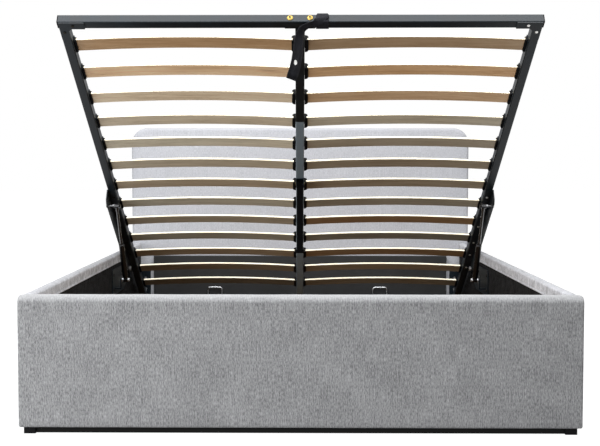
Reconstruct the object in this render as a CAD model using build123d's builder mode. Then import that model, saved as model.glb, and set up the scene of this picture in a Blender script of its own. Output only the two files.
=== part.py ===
"""Ottoman storage bed: an upholstered box with a slatted lid that gas struts hold open.

Millimetres. The origin is on the floor under the middle of the bed: X runs across the
bed, +Y runs from the footboard to the headboard, and +Z is up. The lid is modelled open.
"""
import os
from math import atan2, cos, degrees, hypot, radians, sin

from build123d import *

# Overall sizes
bed_width = 1600
bed_length = 2150
box_top = 397
box_bottom = 18

# Upholstered boards round the box
board_thickness = 38
padding_front = 10
padding_top = 6
padding_end = 8
fabric_tuck = 2
core_inset = 2
lining_thickness = 1
flap_depth = 34
roll_radius = 13
hem_radius = 6
inner_roll_radius = 3

# Headboard
headboard_overhang = 5
headboard_top = 945
headboard_thickness = 80
headboard_padding = 30
headboard_edge_padding = 12
headboard_corner_radius = 75
headboard_roll_radius = 14
back_cloth_thickness = 1.5

# Floor of the store and what carries it
floor_top = 54
floor_board_thickness = 4
floor_board_seam = 2
floor_board_side_gap = 3
floor_board_front_gap = 2
ledger_width = 20
bearer_width = 45
bearer_height = 28
bearer_count = 4
bearer_end_margin = 120
bearer_gap = 0.5

# Plinth and feet
foot_size = 34
foot_inset = 13
foot_setback = 10
plinth_width = 18
plinth_lift = 1
plinth_gap = 0.5
foot_chamfer = 3

# Panel at the head end of the store
head_panel_side_gap = 64
head_panel_top = 337
head_panel_thickness = 12
head_panel_gap = 8
head_panel_radius = 3
cleat_length = 100
cleat_height = 30
cleat_lift = 40

# Steel angles in the corners
angle_thickness = 3
head_angle_leg = 47
head_angle_top = 268
head_slot_width = 7
head_slot_height = 26
keyhole_radius = 6
head_slot_pitch = 53
head_slot_drop = 45
head_slot_count = 4
foot_angle_leg = 50
foot_angle_height = 200
foot_angle_lift = 40

# Bolts
bolt_radius = 3
bolt_clearance = 0.2
bolt_head_radius = 6
bolt_head_height = 2.5
bolt_hold = 20

# Lid frame
lid_side_gap = 12
lid_head_gap = 26
tube_size = 30
tube_wall = 1.5
tube_corner = 3
rail_overhang = 3
lid_front_gap = 14
open_angle = 33.0

# Hinge, measured from the headboard and from the top of the box
hinge_setback = 415
hinge_below_top = 82
hinge_drop = 35
hinge_pin_radius = 6
hinge_head_radius = 10
hinge_head_height = 5.7
hinge_collar_radius = 9
running_clearance = 0.05
axial_clearance = 0.3

# Bracket under each side tube of the lid
bracket_thickness = 3
bracket_front = 623
bracket_rear = 57
bracket_depth = 57
bracket_rear_depth = 40
bracket_corner = 14
bracket_straight_share = 0.4
rivet_radius = 5
rivet_height = 2
rivet_shares = (0.08, 0.3, 0.42, 0.62, 0.78, 0.95)

# Plate on each side board that carries the hinge and the foot of the strut
base_plate_thickness = 4
base_plate_front_margin = 56
base_plate_rear_margin = 48
base_plate_top_margin = 25
base_plate_low_margin = 62
base_plate_corner = 12
shelf_drop = 33
ear_radius = 18
ear_offset = 15
base_screw_margin = 22

# Gas strut
strut_inset = 34
strut_foot_ahead = 309
strut_foot_drop = 18
strut_head_back = 583
strut_head_drop = 30
cylinder_radius = 11
cylinder_length = 166
cylinder_start = 14
cylinder_floor = 8
cylinder_round = 3
rod_radius = 5
rod_hidden = 60
eye_radius = 10
eye_width = 18
eye_neck_radius = 6.5
strut_pin_radius = 4
strut_nut_radius = 7
strut_nut_height = 6

# Slats
row_count = 13
first_row = 130
last_row_margin = 174.8
slat_width = 53
slat_thickness = 8
slat_bow = 12
slat_rounding = 2
slat_lift = 0
slat_tip_gap = 2
slat_spine_gap = 4
holder_wall = 3
holder_clearance = 0.5
holder_length = 8
centre_holder_length = 12
holder_lip = 12
holder_lip_thickness = 2
holder_round = 7
centre_holder_round = 11

# Spine and its fixings
spine_bracket_width = 96
spine_bracket_thickness = 3
spine_bolt_offset = 31
gusset_leg = 52
gusset_thickness = 3
gusset_round = 2
gusset_bolt_share = 0.3
gusset_chamfer = 9

# Centre leg
leg_back = 690
leg_pivot_drop = 16
leg_size = 24
leg_wall = 1.5
leg_corner = 3
leg_foot_height = 12
leg_foot_margin = 1.5
leg_floor_gap = 0.5
leg_ear_thickness = 3
leg_gap = 0.6
leg_pin_radius = 4
leg_head_radius = 7
leg_head_height = 3
leg_ear_width = 30

# Pull strap
strap_width = 38
strap_thickness = 2.4
strap_side = 69
strap_gap = 0.4
tail_length = 170
tail_across_shares = (0.75, 1.0, 0.2, 0.12, -0.17, -0.67, -0.38, -0.24, 0.0)
tail_down_shares = (0.0, 0.0, 0.2, 0.62, 1.0, 0.91, 0.66, 0.23, 0.06)

# Wire loops on the head panel
loop_radius = 3
loop_width = 66
loop_top = 190
loop_height = 118
loop_left = 405
loop_right = 381
loop_stand = 14
loop_corner = 12

# Places worked out from the sizes above
front = -bed_length / 2
half_width = bed_width / 2
inner_half = half_width - board_thickness
board_back = front + board_thickness
headboard_front = front + bed_length - headboard_thickness
headboard_back = front + bed_length
core_outer = half_width - padding_front
core_inner = half_width - board_thickness + fabric_tuck
lining_inner = core_inner - lining_thickness
core_bottom = box_bottom + core_inset
core_top = box_top - padding_top
flap_bottom = core_top - flap_depth
floor_bottom = floor_top - floor_board_thickness
bearer_bottom = floor_bottom - bearer_height

headboard_half = half_width + headboard_overhang
head_panel_half = lining_inner - head_panel_side_gap

hinge_y = headboard_front - hinge_setback
hinge_height = box_top - hinge_below_top
theta = radians(open_angle)
lid_foot = board_back + lid_front_gap - hinge_y
lid_head = headboard_front - lid_head_gap - hinge_y
tube_half = tube_size / 2
tube_under = hinge_drop - tube_half
tube_top = hinge_drop + tube_half
lid_half = inner_half - lid_side_gap
tube_inner = lid_half - tube_size
tube_centre = lid_half - tube_half

lid_across = Vector(1, 0, 0)
lid_along = Vector(0, cos(theta), -sin(theta))
lid_normal = Vector(0, sin(theta), cos(theta))
hinge_point = Vector(0, hinge_y, hinge_height)

# Places of the screws that hold the steel angles and the hinge plates
bolt_hole = bolt_radius + bolt_clearance
head_slots = [head_angle_top - head_slot_drop - head_slot_pitch * n for n in range(head_slot_count)]
slot_x = lining_inner - head_angle_leg / 2
head_bolt_y = headboard_front - head_angle_leg / 2
foot_angle_bottom = floor_top + foot_angle_lift
foot_angle_top = foot_angle_bottom + foot_angle_height
lining_back = board_back - fabric_tuck + lining_thickness
foot_bolt_x = lining_inner - foot_angle_leg / 2
foot_bolt_y = lining_back + foot_angle_leg / 2
foot_bolt_levels = [foot_angle_bottom + foot_angle_leg / 2, foot_angle_top - foot_angle_leg / 2]
strut_plane = lid_half - strut_inset
strut_foot_y = hinge_y - strut_foot_ahead
strut_foot_height = hinge_height - strut_foot_drop
plate_front = strut_foot_y - base_plate_front_margin
plate_back = hinge_y + base_plate_rear_margin
plate_top = hinge_height + base_plate_top_margin
plate_low = strut_foot_height - base_plate_low_margin
plate_screws = [
    (plate_front + base_screw_margin, plate_low + base_screw_margin),
    (plate_front + base_screw_margin, plate_top - base_screw_margin),
    ((strut_foot_y + hinge_y) / 2, plate_low + base_screw_margin),
    ((strut_foot_y + hinge_y) / 2, plate_top - base_screw_margin),
    (hinge_y + base_screw_margin, plate_top - base_screw_margin * 2),
]
side_screws = (
    [(head_bolt_y, z) for z in head_slots] + [(foot_bolt_y, z) for z in foot_bolt_levels] + plate_screws
)


def lid_point(x, y, z):
    """A point of the open lid: x across, y from the hinge towards the head, z upwards."""
    return hinge_point + lid_across * x + lid_along * y + lid_normal * z


def lid_level(z):
    """Plane flat in the lid, z above the hinge. Its sketch runs across and along the lid."""
    return Plane(origin=lid_point(0, 0, z), x_dir=lid_across, z_dir=lid_normal)


def lid_side(x):
    """Plane along the lid that faces +X. Its sketch runs along the lid and up from it."""
    return Plane(origin=lid_point(x, 0, 0), x_dir=lid_along, z_dir=lid_across)


def lid_cross(y):
    """Plane across the lid that faces its head. Its sketch runs towards -X and up from it."""
    return Plane(origin=lid_point(0, y, 0), x_dir=-lid_across, z_dir=lid_along)


def keep(part, name):
    """Name one finished piece and write its file."""
    part.label = name
    export_step(part, f"parts/{name}.step")


def keep_pair(right, name):
    """Write a piece of the right side and its mirror image on the left."""
    with BuildPart() as left:
        mirror(right, about=Plane.YZ)
    keep(right, f"{name}_right")
    keep(left.part, f"{name}_left")


os.makedirs("parts", exist_ok=True)


# Footboard
with BuildPart() as footboard_core:
    with BuildSketch(Plane.YZ) as core_section:
        with Locations((front + padding_front, core_bottom)):
            Rectangle(
                board_thickness - padding_front - fabric_tuck,
                core_top - core_bottom,
                align=(Align.MIN, Align.MIN),
            )
    extrude(amount=half_width - padding_end, both=True)
    with BuildSketch(Plane.XZ.offset(-board_back + fabric_tuck)):
        with Locations(*[(side * foot_bolt_x, z) for side in (-1, 1) for z in foot_bolt_levels]):
            Circle(bolt_hole)
    extrude(amount=bolt_hold, mode=Mode.SUBTRACT)
keep(footboard_core.part, "footboard_core")

with BuildPart() as footboard_cover:
    with BuildSketch(Plane.YZ):
        with Locations((front, box_bottom)):
            Rectangle(board_thickness, box_top - box_bottom, align=(Align.MIN, Align.MIN))
    extrude(amount=half_width, both=True)
    outer_edges = footboard_cover.edges()
    top_edges = outer_edges.filter_by(Axis.X).group_by(Axis.Z)[-1].sort_by(Axis.Y)
    fillet(top_edges[0], roll_radius)
    rear_top = footboard_cover.edges().filter_by(Axis.X).group_by(Axis.Z)[-1].sort_by(Axis.Y)[-1]
    fillet(rear_top, inner_roll_radius)
    front_faces = footboard_cover.faces().sort_by(Axis.Y)[0]
    fillet(front_faces.edges().filter_by(Axis.Z), hem_radius)
    fillet(footboard_cover.edges().filter_by(Axis.X).group_by(Axis.Z)[0].sort_by(Axis.Y)[0], hem_radius)
    with BuildSketch(Plane.YZ):
        with Locations((front + padding_front, core_bottom)):
            Rectangle(
                board_thickness - padding_front - fabric_tuck,
                core_top - core_bottom,
                align=(Align.MIN, Align.MIN),
            )
    extrude(amount=half_width - padding_end, both=True, mode=Mode.SUBTRACT)
    with BuildSketch(Plane.YZ):
        with Locations((board_back - fabric_tuck, core_bottom)):
            Rectangle(fabric_tuck, flap_bottom - core_bottom, align=(Align.MIN, Align.MIN))
    extrude(amount=lining_inner, both=True, mode=Mode.SUBTRACT)
keep(footboard_cover.part, "footboard_cover")

with BuildPart() as footboard_lining:
    with BuildSketch(Plane.YZ):
        with Locations((board_back - fabric_tuck, core_bottom)):
            Rectangle(lining_thickness, flap_bottom - core_bottom, align=(Align.MIN, Align.MIN))
    extrude(amount=lining_inner, both=True)
    with BuildSketch(Plane.XZ.offset(-board_back)):
        with Locations(*[(side * foot_bolt_x, z) for side in (-1, 1) for z in foot_bolt_levels]):
            Circle(bolt_hole)
    extrude(amount=bolt_hold, mode=Mode.SUBTRACT)
keep(footboard_lining.part, "footboard_lining")


# Side boards
side_length = headboard_front - board_back

with BuildPart() as side_core:
    with BuildSketch(Plane.XZ.offset(-board_back)):
        with Locations((core_inner, core_bottom)):
            Rectangle(core_outer - core_inner, core_top - core_bottom, align=(Align.MIN, Align.MIN))
    extrude(amount=-side_length)
    with BuildSketch(Plane.YZ.offset(core_inner)):
        with Locations(*side_screws):
            Circle(bolt_hole)
    extrude(amount=bolt_hold, mode=Mode.SUBTRACT)
keep_pair(side_core.part, "side_board_core")

with BuildPart() as side_cover:
    with BuildSketch(Plane.XZ.offset(-board_back)) as side_section:
        with Locations((inner_half, box_bottom)):
            Rectangle(board_thickness, box_top - box_bottom, align=(Align.MIN, Align.MIN))
        top_corners = side_section.vertices().group_by(Axis.Y)[-1].sort_by(Axis.X)
        fillet(top_corners[-1], roll_radius)
        fillet(side_section.vertices().group_by(Axis.Y)[-1].sort_by(Axis.X)[0], inner_roll_radius)
        fillet(side_section.vertices().group_by(Axis.Y)[0].sort_by(Axis.X)[-1], hem_radius)
        with Locations((core_inner, core_bottom)):
            Rectangle(
                core_outer - core_inner,
                core_top - core_bottom,
                align=(Align.MIN, Align.MIN),
                mode=Mode.SUBTRACT,
            )
        with Locations((inner_half, box_bottom)):
            Rectangle(
                fabric_tuck, flap_bottom - box_bottom, align=(Align.MIN, Align.MIN), mode=Mode.SUBTRACT
            )
    extrude(amount=-side_length)
keep_pair(side_cover.part, "side_board_cover")

with BuildPart() as side_lining:
    with BuildSketch(Plane.XZ.offset(-board_back)):
        with Locations((lining_inner, core_bottom)):
            Rectangle(lining_thickness, flap_bottom - core_bottom, align=(Align.MIN, Align.MIN))
    extrude(amount=-side_length)
    with BuildSketch(Plane.YZ.offset(inner_half)):
        with Locations(*side_screws):
            Circle(bolt_hole)
    extrude(amount=bolt_hold, mode=Mode.SUBTRACT)
keep_pair(side_lining.part, "side_board_lining")


# Headboard
headboard_height = headboard_top - box_bottom
core_half = headboard_half - headboard_edge_padding
core_rise = headboard_height - headboard_edge_padding - core_inset
core_depth = headboard_thickness - headboard_padding - back_cloth_thickness


def headboard_outline(half, bottom, rise, radius):
    """Outline of the headboard: square at the foot and round at the two top corners."""
    with BuildSketch() as outline:
        with Locations((0, bottom)):
            Rectangle(2 * half, rise, align=(Align.CENTER, Align.MIN))
        fillet(outline.vertices().group_by(Axis.Y)[-1], radius)
    return outline.sketch


headboard_bolts = [(side * slot_x, head_slots[-1]) for side in (-1, 1)]
core_outline = headboard_outline(
    core_half, core_bottom, core_rise, headboard_corner_radius - headboard_edge_padding
)
cover_outline = headboard_outline(
    headboard_half, box_bottom, headboard_height, headboard_corner_radius
)

with BuildPart() as headboard_core:
    with BuildSketch(Plane.XZ.offset(-headboard_front - headboard_padding)):
        add(core_outline)
    extrude(amount=-core_depth)
    with BuildSketch(Plane.XZ.offset(-headboard_front - headboard_padding)):
        with Locations(*headboard_bolts):
            Circle(bolt_hole)
    extrude(amount=-bolt_hold, mode=Mode.SUBTRACT)
keep(headboard_core.part, "headboard_core")

with BuildPart() as headboard_cover:
    with BuildSketch(Plane.XZ.offset(-headboard_front)):
        add(cover_outline)
    extrude(amount=-headboard_thickness)
    front_face = headboard_cover.faces().sort_by(Axis.Y)[0]
    rear_face = headboard_cover.faces().sort_by(Axis.Y)[-1]
    fillet(front_face.edges(), headboard_roll_radius)
    fillet(rear_face.edges(), hem_radius)
    with BuildSketch(Plane.XZ.offset(-headboard_front - headboard_padding)):
        add(core_outline)
    extrude(amount=-headboard_thickness, mode=Mode.SUBTRACT)
    with BuildSketch(Plane.XZ.offset(-headboard_front)):
        with Locations(*headboard_bolts):
            Circle(bolt_hole)
    extrude(amount=-headboard_padding, mode=Mode.SUBTRACT)
keep(headboard_cover.part, "headboard_cover")

with BuildPart() as headboard_back_cloth:
    with BuildSketch(Plane.XZ.offset(-headboard_back + back_cloth_thickness)):
        add(core_outline)
    extrude(amount=-back_cloth_thickness)
keep(headboard_back_cloth.part, "headboard_back_cloth")


# Floor of the store
floor_half = lining_inner - floor_board_side_gap
floor_front = board_back + floor_board_front_gap
floor_back = headboard_front - head_panel_gap + floor_board_seam
floor_middle = (floor_front + floor_back) / 2


def floor_board(start, end, name):
    """One thin board of the floor, from start to end along the bed."""
    with BuildPart() as board:
        with BuildSketch(Plane.XY.offset(floor_bottom)):
            with Locations((0, (start + end) / 2)):
                Rectangle(2 * floor_half, end - start)
        extrude(amount=floor_board_thickness)
    keep(board.part, name)


floor_board(floor_front, floor_middle - floor_board_seam / 2, "floor_board_front")
floor_board(floor_middle + floor_board_seam / 2, floor_back, "floor_board_rear")

ledger_inner = lining_inner - ledger_width
bearer_first = floor_front + bearer_end_margin
bearer_last = floor_back - bearer_end_margin
bearer_pitch = (bearer_last - bearer_first) / (bearer_count - 1)
bearer_places = [(0, bearer_first + bearer_pitch * n) for n in range(bearer_count)]
with BuildPart() as floor_frame:
    with BuildSketch(Plane.XY.offset(bearer_bottom)):
        with Locations((lining_inner, floor_front), (-ledger_inner, floor_front)):
            Rectangle(ledger_width, floor_back - floor_front, align=(Align.MAX, Align.MIN))
        with Locations(*bearer_places):
            Rectangle(2 * (ledger_inner - bearer_gap), bearer_width)
    extrude(amount=bearer_height)
keep(floor_frame.part, "floor_frame")


# Plinth and feet
foot_half = foot_size / 2
foot_x = half_width - foot_inset - foot_half
foot_front_y = front + foot_setback + foot_half
foot_rear_y = headboard_front - foot_setback - foot_half
foot_middle_y = (foot_front_y + foot_rear_y) / 2
headboard_foot_y = headboard_back - headboard_thickness / 2
outer_feet = [
    (side * foot_x, y)
    for side in (-1, 1)
    for y in (foot_front_y, foot_middle_y, foot_rear_y, headboard_foot_y)
]

with BuildPart() as feet:
    with BuildSketch():
        with Locations(*outer_feet):
            RectangleRounded(foot_size, foot_size, foot_chamfer)
    extrude(amount=box_bottom)
    with BuildSketch():
        with Locations(*bearer_places):
            RectangleRounded(foot_size, foot_size, foot_chamfer)
    extrude(amount=bearer_bottom)
keep(feet.part, "feet")

with BuildPart() as plinth_strips:
    with BuildSketch(Plane.XY.offset(plinth_lift)):
        with Locations((0, foot_front_y)):
            Rectangle(2 * (foot_x - foot_half - plinth_gap), plinth_width)
        for side in (-1, 1):
            for start, end in ((foot_front_y, foot_middle_y), (foot_middle_y, foot_rear_y)):
                with Locations((side * foot_x, (start + end) / 2)):
                    Rectangle(plinth_width, end - start - foot_size - 2 * plinth_gap)
    extrude(amount=box_bottom - plinth_lift)
keep(plinth_strips.part, "plinth_strips")


# Panel and steel angles at the head end
panel_back = headboard_front - head_panel_gap
with BuildPart() as head_panel:
    with BuildSketch(Plane.XY.offset(floor_top)):
        with Locations((0, panel_back)):
            Rectangle(head_panel_half * 2, head_panel_thickness, align=(Align.CENTER, Align.MAX))
    extrude(amount=head_panel_top - floor_top)
    fillet(head_panel.edges().filter_by(Axis.X).group_by(Axis.Z)[-1], head_panel_radius)
keep(head_panel.part, "head_panel")

cleat_depth = head_panel_gap - angle_thickness
cleat_end = lining_inner - angle_thickness - floor_board_side_gap
with BuildPart() as head_panel_cleats:
    with BuildSketch(Plane.XY.offset(floor_top + cleat_lift)):
        for side in (-1, 1):
            with Locations((side * (cleat_end - cleat_length / 2), panel_back)):
                Rectangle(cleat_length, cleat_depth, align=(Align.CENTER, Align.MIN))
    extrude(amount=cleat_height)
keep(head_panel_cleats.part, "head_panel_cleats")

with BuildPart() as head_angle:
    with BuildSketch(Plane.XY.offset(floor_top)):
        with Locations((lining_inner, headboard_front)):
            Rectangle(head_angle_leg, angle_thickness, align=(Align.MAX, Align.MAX))
            Rectangle(angle_thickness, head_angle_leg, align=(Align.MAX, Align.MAX))
    extrude(amount=head_angle_top - floor_top)
    with BuildSketch(Plane.XZ.offset(-headboard_front)):
        for slot_z in head_slots:
            with Locations((slot_x, slot_z)):
                SlotOverall(head_slot_height, head_slot_width, rotation=90)
            with Locations((slot_x, slot_z + head_slot_height / 2 - keyhole_radius)):
                Circle(keyhole_radius)
    extrude(amount=2 * angle_thickness, both=True, mode=Mode.SUBTRACT)
    with BuildSketch(Plane.YZ.offset(lining_inner)):
        with Locations(*[(head_bolt_y, slot_z) for slot_z in head_slots]):
            Circle(bolt_hole)
    extrude(amount=2 * angle_thickness, both=True, mode=Mode.SUBTRACT)
keep_pair(head_angle.part, "head_angle")

with BuildPart() as foot_angles:
    with BuildSketch(Plane.XY.offset(foot_angle_bottom)):
        with Locations((lining_inner, lining_back)):
            Rectangle(foot_angle_leg, angle_thickness, align=(Align.MAX, Align.MIN))
            Rectangle(angle_thickness, foot_angle_leg, align=(Align.MAX, Align.MIN))
    extrude(amount=foot_angle_height)
    with BuildSketch(Plane.XZ.offset(-lining_back)):
        with Locations(*[(foot_bolt_x, z) for z in foot_bolt_levels]):
            Circle(bolt_hole)
    extrude(amount=2 * angle_thickness, both=True, mode=Mode.SUBTRACT)
    with BuildSketch(Plane.YZ.offset(lining_inner)):
        with Locations(*[(foot_bolt_y, z) for z in foot_bolt_levels]):
            Circle(bolt_hole)
    extrude(amount=2 * angle_thickness, both=True, mode=Mode.SUBTRACT)
    mirror(foot_angles.part, about=Plane.YZ)
keep(foot_angles.part, "foot_angles")


def fastener(head_radius, head_height, shank_radius, shank_length, dome):
    """A domed head that stands above the XY plane, with its shank below."""
    with BuildPart() as one:
        with BuildSketch():
            Circle(head_radius)
        extrude(amount=head_height)
        fillet(one.edges().group_by(Axis.Z)[-1], dome)
        with BuildSketch():
            Circle(shank_radius)
        extrude(amount=-shank_length)
    return one.part


def facing(x, y, z, direction):
    """The place of a fastener whose head faces a direction."""
    return Plane(origin=(x, y, z), z_dir=direction).location


# Screws of the angles and of the hinge plates
bolt_dome = bolt_head_height / 2
frame_screw = fastener(bolt_head_radius, bolt_head_height, bolt_radius, bolt_hold, bolt_dome)
with BuildPart() as frame_bolts:
    for side in (-1, 1):
        inward = (-side, 0, 0)
        angle_face = side * (lining_inner - angle_thickness)
        plate_face = side * (lining_inner - base_plate_thickness)
        angle_places = [(head_bolt_y, z) for z in head_slots] + [(foot_bolt_y, z) for z in foot_bolt_levels]
        with Locations(*[facing(angle_face, y, z, inward) for y, z in angle_places]):
            add(frame_screw)
        with Locations(*[facing(plate_face, y, z, inward) for y, z in plate_screws]):
            add(frame_screw)
        foot_places = [(side * foot_bolt_x, z) for z in foot_bolt_levels]
        with Locations(*[facing(x, lining_back + angle_thickness, z, (0, 1, 0)) for x, z in foot_places]):
            add(frame_screw)
    head_face = headboard_front - angle_thickness
    with Locations(*[facing(x, head_face, z, (0, -1, 0)) for x, z in headboard_bolts]):
        add(fastener(bolt_head_radius, cleat_depth / 2, bolt_radius, headboard_padding, bolt_dome))
keep(frame_bolts.part, "frame_bolts")


# Wire loops on the head panel
panel_front = panel_back - head_panel_thickness
loop_low = loop_top - loop_height
with BuildPart() as wire_loops:
    for middle in (-loop_left, loop_right):
        left_x = middle - loop_width / 2
        right_x = middle + loop_width / 2
        loop_y = panel_front - loop_stand
        with BuildLine() as loop_path:
            FilletPolyline(
                (left_x, panel_front, loop_low),
                (left_x, loop_y, loop_low),
                (left_x, loop_y, loop_top - loop_radius),
                (right_x, loop_y, loop_top - loop_radius),
                (right_x, loop_y, loop_low),
                (right_x, panel_front, loop_low),
                radius=loop_corner,
            )
        with BuildSketch(Plane(origin=(left_x, panel_front, loop_low), z_dir=(0, -1, 0))):
            Circle(loop_radius)
        sweep(path=loop_path.line)
keep(wire_loops.part, "wire_loops")


# Hinge plate on each side board, with the channel that carries the foot of the strut
plate_face = lining_inner - base_plate_thickness
ear_inner = strut_plane + ear_offset
shelf_top = strut_foot_height - shelf_drop
shelf_bottom = shelf_top - base_plate_thickness
pin_hole = strut_pin_radius + running_clearance
hinge_hole = hinge_pin_radius + running_clearance
with BuildPart() as hinge_base:
    with BuildSketch(Plane.YZ.offset(plate_face)) as plate_outline:
        with BuildLine():
            Polyline(
                (plate_front, plate_low),
                (plate_front, plate_top),
                (plate_back, plate_top),
                (plate_back, hinge_height - base_screw_margin),
                ((strut_foot_y + hinge_y) / 2 + base_plate_low_margin, plate_low),
                close=True,
            )
        make_face()
        fillet(plate_outline.vertices(), base_plate_corner)
        with Locations((hinge_y, hinge_height)):
            Circle(hinge_hole, mode=Mode.SUBTRACT)
        with Locations(*plate_screws):
            Circle(bolt_hole, mode=Mode.SUBTRACT)
    extrude(amount=base_plate_thickness)
    with BuildSketch(Plane.XY.offset(shelf_bottom)):
        with Locations((ear_inner, strut_foot_y)):
            Rectangle(plate_face - ear_inner, 2 * ear_radius, align=(Align.MIN, Align.CENTER))
    extrude(amount=base_plate_thickness)
    with BuildSketch(Plane.YZ.offset(ear_inner)):
        with Locations((strut_foot_y, shelf_bottom)):
            Rectangle(2 * ear_radius, strut_foot_height - shelf_bottom, align=(Align.CENTER, Align.MIN))
        with Locations((strut_foot_y, strut_foot_height)):
            Circle(ear_radius)
            Circle(pin_hole, mode=Mode.SUBTRACT)
    extrude(amount=base_plate_thickness)
keep_pair(hinge_base.part, "hinge_base")


# Pins of the hinges and of the strut feet
bracket_inner = lid_half
bracket_outer = lid_half + bracket_thickness
eye_inner = strut_plane - eye_width / 2
eye_outer = strut_plane + eye_width / 2
with BuildPart() as mechanism_pins:
    with BuildSketch(Plane.YZ.offset(bracket_inner - axial_clearance - hinge_head_height)):
        with Locations((hinge_y, hinge_height)):
            Circle(hinge_head_radius)
    extrude(amount=hinge_head_height)
    with BuildSketch(Plane.YZ.offset(bracket_inner - axial_clearance)):
        with Locations((hinge_y, hinge_height)):
            Circle(hinge_pin_radius)
    extrude(amount=lining_inner - bracket_inner + axial_clearance)
    with BuildSketch(Plane.YZ.offset(bracket_outer + axial_clearance)):
        with Locations((hinge_y, hinge_height)):
            Circle(hinge_collar_radius)
    extrude(amount=plate_face - bracket_outer - axial_clearance)
    with BuildSketch(Plane.YZ.offset(eye_inner - axial_clearance - strut_nut_height)):
        with Locations((strut_foot_y, strut_foot_height)):
            RegularPolygon(strut_nut_radius, side_count=6)
    extrude(amount=strut_nut_height)
    with BuildSketch(Plane.YZ.offset(eye_inner - axial_clearance)):
        with Locations((strut_foot_y, strut_foot_height)):
            Circle(strut_pin_radius)
    extrude(amount=ear_inner + base_plate_thickness - eye_inner + axial_clearance)
    with BuildSketch(Plane.YZ.offset(eye_outer + axial_clearance)):
        with Locations((strut_foot_y, strut_foot_height)):
            Circle(strut_nut_radius)
    extrude(amount=ear_inner - eye_outer - axial_clearance)
    mirror(mechanism_pins.part, about=Plane.YZ)
keep(mechanism_pins.part, "mechanism_pins")


# Gas struts, drawn out
head_point = lid_point(strut_plane, -strut_head_back, -strut_head_drop)
foot_point = Vector(strut_plane, strut_foot_y, strut_foot_height)
strut_line = head_point - foot_point
strut_open = strut_line.length
strut_way = strut_line.normalized()
strut_frame = Plane(origin=foot_point, x_dir=strut_way, z_dir=(1, 0, 0))
cylinder_end = cylinder_start + cylinder_length
with BuildPart() as strut_cylinder:
    with BuildSketch(strut_frame):
        with Locations((cylinder_start, 0)):
            Rectangle(cylinder_length, cylinder_radius, align=(Align.MIN, Align.MIN))
        with Locations((0, 0)):
            Rectangle(cylinder_start, eye_neck_radius, align=(Align.MIN, Align.MIN))
    revolve(axis=Axis(foot_point, strut_way))
    end_edges = strut_cylinder.edges().filter_by(GeomType.CIRCLE)
    end_edges = end_edges.filter_by(lambda edge: abs(edge.radius - cylinder_radius) < running_clearance)
    fillet(end_edges, cylinder_round)
    with BuildSketch(strut_frame.offset(-eye_width / 2)):
        Circle(eye_radius)
    extrude(amount=eye_width)
    with BuildSketch(strut_frame.offset(-eye_width)):
        Circle(pin_hole)
    extrude(amount=2 * eye_width, mode=Mode.SUBTRACT)
    bore_floor = cylinder_start + cylinder_floor
    with BuildSketch(strut_frame):
        with Locations((bore_floor, 0)):
            Rectangle(
                cylinder_length, rod_radius + running_clearance, align=(Align.MIN, Align.MIN)
            )
    revolve(axis=Axis(foot_point, strut_way), mode=Mode.SUBTRACT)
keep_pair(strut_cylinder.part, "strut_cylinder")

head_eye_half = eye_width / 2
bolt_reach = bracket_inner - axial_clearance - strut_plane
with BuildPart() as strut_rod:
    with BuildSketch(strut_frame):
        with Locations((cylinder_end - rod_hidden, 0)):
            Rectangle(strut_open - cylinder_end + rod_hidden, rod_radius, align=(Align.MIN, Align.MIN))
        with Locations((strut_open, 0)):
            Rectangle(eye_radius + cylinder_start, eye_neck_radius, align=(Align.MAX, Align.MIN))
    revolve(axis=Axis(foot_point, strut_way))
    with BuildSketch(strut_frame.offset(-head_eye_half)):
        with Locations((strut_open, 0)):
            Circle(eye_radius)
    extrude(amount=eye_width)
    with BuildSketch(strut_frame.offset(-head_eye_half - strut_nut_height)):
        with Locations((strut_open, 0)):
            RegularPolygon(strut_nut_radius, side_count=6)
    extrude(amount=strut_nut_height)
    with BuildSketch(strut_frame.offset(-head_eye_half - strut_nut_height)):
        with Locations((strut_open, 0)):
            Circle(strut_pin_radius)
    extrude(amount=bolt_reach + head_eye_half + strut_nut_height)
    with BuildSketch(strut_frame.offset(head_eye_half)):
        with Locations((strut_open, 0)):
            RegularPolygon(strut_nut_radius, side_count=6)
    extrude(amount=strut_nut_height)
keep_pair(strut_rod.part, "strut_rod")


# Steel frame of the lid
foot_inner = lid_foot + tube_size
head_inner = lid_head - tube_size


def tube_section(across, up):
    """Section of the square tube of the lid, with its wall."""
    with BuildSketch() as section:
        with Locations((across, up)):
            RectangleRounded(tube_size, tube_size, tube_corner)
            RectangleRounded(
                tube_size - 2 * tube_wall,
                tube_size - 2 * tube_wall,
                tube_corner - tube_wall,
                mode=Mode.SUBTRACT,
            )
    return section.sketch


bracket_start = -bracket_front
bracket_end = bracket_rear
rivet_places = [bracket_start + (bracket_end - bracket_start) * share for share in rivet_shares]
gusset_step = gusset_leg * gusset_bolt_share
gusset_tube_places = [(side * tube_centre, y) for side in (-1, 1)
                      for y in (foot_inner + gusset_step, head_inner - gusset_step)]
gusset_rail_places = [(side * (tube_inner - gusset_step), y) for side in (-1, 1)
                      for y in (lid_foot + tube_half, lid_head - tube_half)]

with BuildPart() as lid_tube:
    with BuildSketch(lid_cross(foot_inner)):
        add(tube_section(-tube_centre, hinge_drop))
    extrude(amount=head_inner - foot_inner)
    with BuildSketch(lid_level(tube_under)):
        with Locations(*[(tube_centre, y) for y in rivet_places]):
            Circle(bolt_hole)
        with Locations(*[place for place in gusset_tube_places if place[0] > 0]):
            Circle(bolt_hole)
    extrude(amount=2 * tube_wall, mode=Mode.SUBTRACT)
keep_pair(lid_tube.part, "lid_tube")

spine_start = foot_inner + spine_bracket_thickness
spine_end = head_inner - spine_bracket_thickness
with BuildPart() as lid_spine:
    with BuildSketch(lid_cross(spine_start)):
        add(tube_section(0, hinge_drop))
    extrude(amount=spine_end - spine_start)
keep(lid_spine.part, "lid_spine")


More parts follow.
